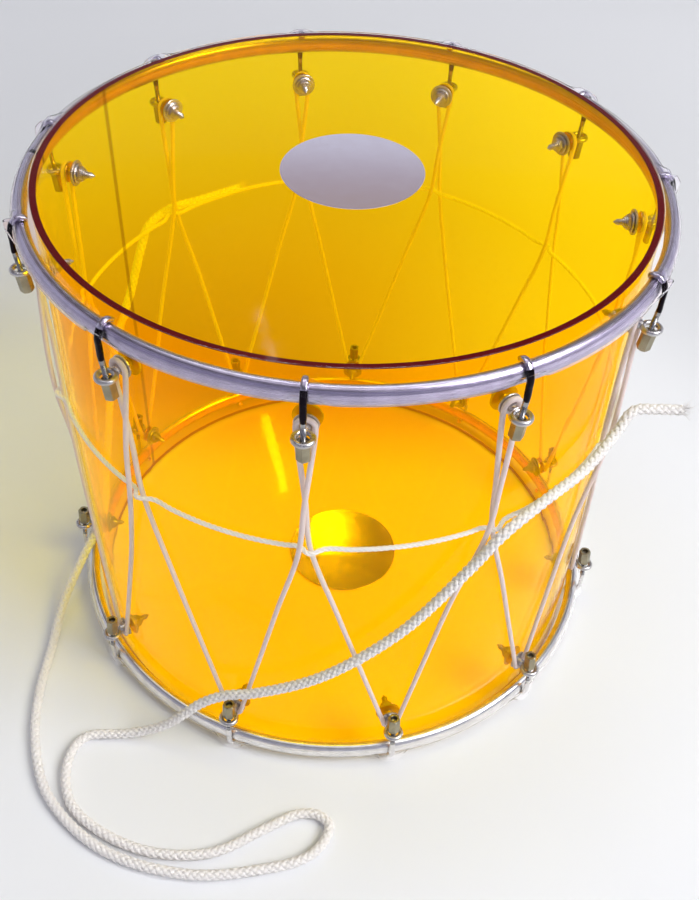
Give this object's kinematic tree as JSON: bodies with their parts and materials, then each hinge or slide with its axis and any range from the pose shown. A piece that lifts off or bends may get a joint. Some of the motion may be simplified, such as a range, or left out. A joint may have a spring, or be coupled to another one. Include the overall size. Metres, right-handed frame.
{
  "type": "rope-braced cylindrical drum",
  "caption": "Two-headed cylindrical drum with a see-through amber tube, clear film heads on hooked hoops, eye-bolt tension nuts, zigzag white lacing and a rope carrying strap.",
  "frame": {"origin": "on the floor under the middle of the drum", "axes": "+Z along the drum axis towards the pictured upper head, -Y towards the pictured front, +X to its right"},
  "size_m": [0.3728, 0.4333, 0.3119],
  "materials": {
    "amber_acrylic": "clear amber acrylic, polished, with dark red cut edges",
    "clear_film": "clear glossy drum-head film",
    "silver_foil": "satin silver self-adhesive patch",
    "hoop_metal": "satin bright hoop and hooks",
    "bright_steel": "bright plated eye bolts, washers and nuts",
    "zinc_steel": "yellow-passivated zinc plating",
    "white_cord": "smooth white synthetic cord",
    "white_rope": "braided white synthetic rope"
  },
  "bodies": {
    "drum": {"shell": "amber_acrylic", "head_film_top": "clear_film", "hoop_with_hooks_top": "hoop_metal", "centre_dot_top": "silver_foil", "eye_bolt_top_01": "bright_steel", "eye_bolt_top_02": "bright_steel", "eye_bolt_top_03": "bright_steel", "eye_bolt_top_04": "bright_steel", "eye_bolt_top_05": "bright_steel", "eye_bolt_top_06": "bright_steel", "eye_bolt_top_07": "bright_steel", "eye_bolt_top_08": "bright_steel", "eye_bolt_top_09": "bright_steel", "eye_bolt_top_10": "bright_steel", "eye_bolt_top_11": "bright_steel", "head_film_bottom": "clear_film", "hoop_with_hooks_bottom": "hoop_metal", "centre_dot_bottom": "silver_foil", "eye_bolt_bottom_01": "bright_steel", "eye_bolt_bottom_02": "bright_steel", "eye_bolt_bottom_03": "bright_steel", "eye_bolt_bottom_04": "bright_steel", "eye_bolt_bottom_05": "bright_steel", "eye_bolt_bottom_06": "bright_steel", "eye_bolt_bottom_07": "bright_steel", "eye_bolt_bottom_08": "bright_steel", "eye_bolt_bottom_09": "bright_steel", "eye_bolt_bottom_10": "bright_steel", "eye_bolt_bottom_11": "bright_steel", "lacing_cord": "white_cord", "waist_cord": "white_cord", "carrying_strap": "white_rope"},
    "tube_nut_top_01": {"tube_nut_top_01": "zinc_steel"},
    "tube_nut_top_02": {"tube_nut_top_02": "zinc_steel"},
    "tube_nut_top_03": {"tube_nut_top_03": "zinc_steel"},
    "tube_nut_top_04": {"tube_nut_top_04": "zinc_steel"},
    "tube_nut_top_05": {"tube_nut_top_05": "zinc_steel"},
    "tube_nut_top_06": {"tube_nut_top_06": "zinc_steel"},
    "tube_nut_top_07": {"tube_nut_top_07": "zinc_steel"},
    "tube_nut_top_08": {"tube_nut_top_08": "zinc_steel"},
    "tube_nut_top_09": {"tube_nut_top_09": "zinc_steel"},
    "tube_nut_top_10": {"tube_nut_top_10": "zinc_steel"},
    "tube_nut_top_11": {"tube_nut_top_11": "zinc_steel"},
    "tube_nut_bottom_01": {"tube_nut_bottom_01": "zinc_steel"},
    "tube_nut_bottom_02": {"tube_nut_bottom_02": "zinc_steel"},
    "tube_nut_bottom_03": {"tube_nut_bottom_03": "zinc_steel"},
    "tube_nut_bottom_04": {"tube_nut_bottom_04": "zinc_steel"},
    "tube_nut_bottom_05": {"tube_nut_bottom_05": "zinc_steel"},
    "tube_nut_bottom_06": {"tube_nut_bottom_06": "zinc_steel"},
    "tube_nut_bottom_07": {"tube_nut_bottom_07": "zinc_steel"},
    "tube_nut_bottom_08": {"tube_nut_bottom_08": "zinc_steel"},
    "tube_nut_bottom_09": {"tube_nut_bottom_09": "zinc_steel"},
    "tube_nut_bottom_10": {"tube_nut_bottom_10": "zinc_steel"},
    "tube_nut_bottom_11": {"tube_nut_bottom_11": "zinc_steel"}
  },
  "joints": [
    {"name": "turn_nut_top_01", "type": "hinge", "parent": "drum", "child": "tube_nut_top_01", "pos_m": [-0.0153, -0.17493, 0.2783], "axis": [-0.009, -0.103, 0.9946], "continuous": true},
    {"name": "turn_nut_top_02", "type": "hinge", "parent": "drum", "child": "tube_nut_top_02", "pos_m": [0.0817, -0.15544, 0.2783], "axis": [0.0481, -0.0916, 0.9946], "continuous": true},
    {"name": "turn_nut_top_03", "type": "hinge", "parent": "drum", "child": "tube_nut_top_03", "pos_m": [0.15277, -0.08659, 0.2783], "axis": [0.09, -0.051, 0.9946], "continuous": true},
    {"name": "turn_nut_top_04", "type": "hinge", "parent": "drum", "child": "tube_nut_top_04", "pos_m": [0.17533, 0.00975, 0.2783], "axis": [0.1033, 0.0057, 0.9946], "continuous": true},
    {"name": "turn_nut_top_05", "type": "hinge", "parent": "drum", "child": "tube_nut_top_05", "pos_m": [0.14223, 0.10299, 0.2783], "axis": [0.0838, 0.0607, 0.9946], "continuous": true},
    {"name": "turn_nut_top_06", "type": "hinge", "parent": "drum", "child": "tube_nut_top_06", "pos_m": [0.06397, 0.16353, 0.2783], "axis": [0.0377, 0.0963, 0.9946], "continuous": true},
    {"name": "turn_nut_top_07", "type": "hinge", "parent": "drum", "child": "tube_nut_top_07", "pos_m": [-0.0346, 0.17216, 0.2783], "axis": [-0.0204, 0.1014, 0.9946], "continuous": true},
    {"name": "turn_nut_top_08", "type": "hinge", "parent": "drum", "child": "tube_nut_top_08", "pos_m": [-0.12218, 0.12612, 0.2783], "axis": [-0.072, 0.0743, 0.9946], "continuous": true},
    {"name": "turn_nut_top_09", "type": "hinge", "parent": "drum", "child": "tube_nut_top_09", "pos_m": [-0.17097, 0.04004, 0.2783], "axis": [-0.1007, 0.0236, 0.9946], "continuous": true},
    {"name": "turn_nut_top_10", "type": "hinge", "parent": "drum", "child": "tube_nut_top_10", "pos_m": [-0.16548, -0.05875, 0.2783], "axis": [-0.0975, -0.0346, 0.9946], "continuous": true},
    {"name": "turn_nut_top_11", "type": "hinge", "parent": "drum", "child": "tube_nut_top_11", "pos_m": [-0.10745, -0.13889, 0.2783], "axis": [-0.0633, -0.0818, 0.9946], "continuous": true},
    {"name": "turn_nut_bottom_01", "type": "hinge", "parent": "drum", "child": "tube_nut_bottom_01", "pos_m": [0.0395, -0.1711, 0.0333], "axis": [0.0233, -0.1008, -0.9946], "continuous": true},
    {"name": "turn_nut_bottom_02", "type": "hinge", "parent": "drum", "child": "tube_nut_bottom_02", "pos_m": [0.12573, -0.12258, 0.0333], "axis": [0.0741, -0.0722, -0.9946], "continuous": true},
    {"name": "turn_nut_bottom_03", "type": "hinge", "parent": "drum", "child": "tube_nut_bottom_03", "pos_m": [0.17205, -0.03515, 0.0333], "axis": [0.1013, -0.0207, -0.9946], "continuous": true},
    {"name": "turn_nut_bottom_04", "type": "hinge", "parent": "drum", "child": "tube_nut_bottom_04", "pos_m": [0.16374, 0.06345, 0.0333], "axis": [0.0965, 0.0374, -0.9946], "continuous": true},
    {"name": "turn_nut_bottom_05", "type": "hinge", "parent": "drum", "child": "tube_nut_bottom_05", "pos_m": [0.10344, 0.1419, 0.0333], "axis": [0.0609, 0.0836, -0.9946], "continuous": true},
    {"name": "turn_nut_bottom_06", "type": "hinge", "parent": "drum", "child": "tube_nut_bottom_06", "pos_m": [0.0103, 0.1753, 0.0333], "axis": [0.0061, 0.1033, -0.9946], "continuous": true},
    {"name": "turn_nut_bottom_07", "type": "hinge", "parent": "drum", "child": "tube_nut_bottom_07", "pos_m": [-0.08611, 0.15304, 0.0333], "axis": [-0.0507, 0.0902, -0.9946], "continuous": true},
    {"name": "turn_nut_bottom_08", "type": "hinge", "parent": "drum", "child": "tube_nut_bottom_08", "pos_m": [-0.15518, 0.08219, 0.0333], "axis": [-0.0914, 0.0484, -0.9946], "continuous": true},
    {"name": "turn_nut_bottom_09", "type": "hinge", "parent": "drum", "child": "tube_nut_bottom_09", "pos_m": [-0.17498, -0.01475, 0.0333], "axis": [-0.1031, -0.0087, -0.9946], "continuous": true},
    {"name": "turn_nut_bottom_10", "type": "hinge", "parent": "drum", "child": "tube_nut_bottom_10", "pos_m": [-0.13923, -0.10701, 0.0333], "axis": [-0.082, -0.063, -0.9946], "continuous": true},
    {"name": "turn_nut_bottom_11", "type": "hinge", "parent": "drum", "child": "tube_nut_bottom_11", "pos_m": [-0.05927, -0.16529, 0.0333], "axis": [-0.0349, -0.0974, -0.9946], "continuous": true}
  ]
}
